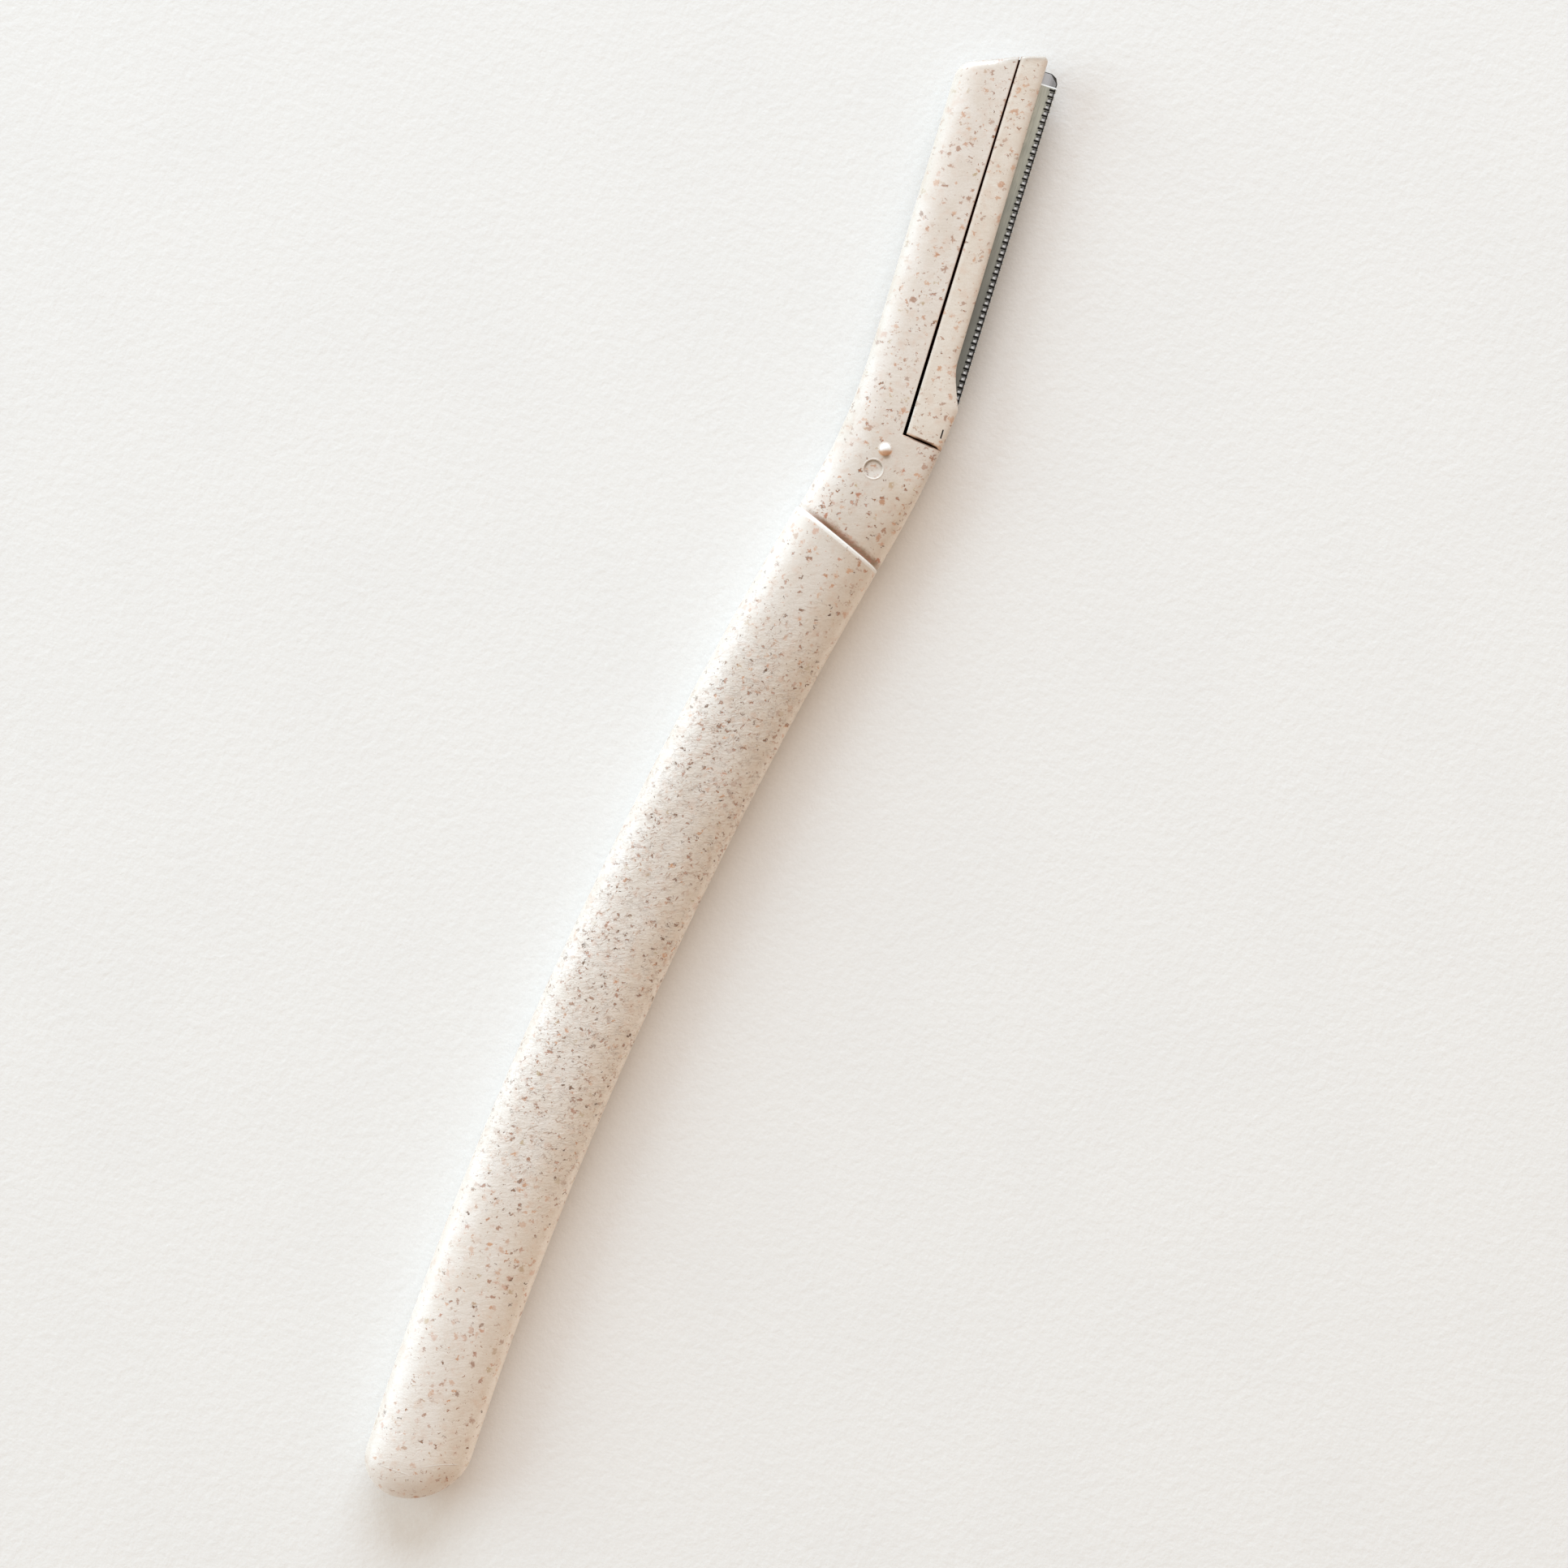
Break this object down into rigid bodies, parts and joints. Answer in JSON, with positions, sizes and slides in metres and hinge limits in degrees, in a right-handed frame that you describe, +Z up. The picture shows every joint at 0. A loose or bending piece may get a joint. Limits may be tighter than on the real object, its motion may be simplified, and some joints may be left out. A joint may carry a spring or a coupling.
{
  "type": "eyebrow razor",
  "caption": "Slim bowed eyebrow razor: moulded handle, angled head, clamped steel blade behind a micro comb guard.",
  "frame": {"origin": "on the resting plane, under the middle of the outline", "axes": "+Z up from the resting plane, on the side that shows the blade cover; +Y along the length, from the butt to the tip; +X to the cutting edge's side"},
  "size_m": [0.0148, 0.15, 0.0049],
  "materials": {
    "straw_plastic": "satin pale straw plastic with fine tan specks",
    "cover_plastic": "satin pale straw plastic with fine tan specks",
    "blade_steel": "fine ground stainless",
    "guard_steel": "thin rolled stainless sheet"
  },
  "bodies": {
    "root": {"handle_body": "straw_plastic", "blade_cover": "cover_plastic", "blade": "blade_steel", "comb_guard": "guard_steel"}
  },
  "joints": []
}
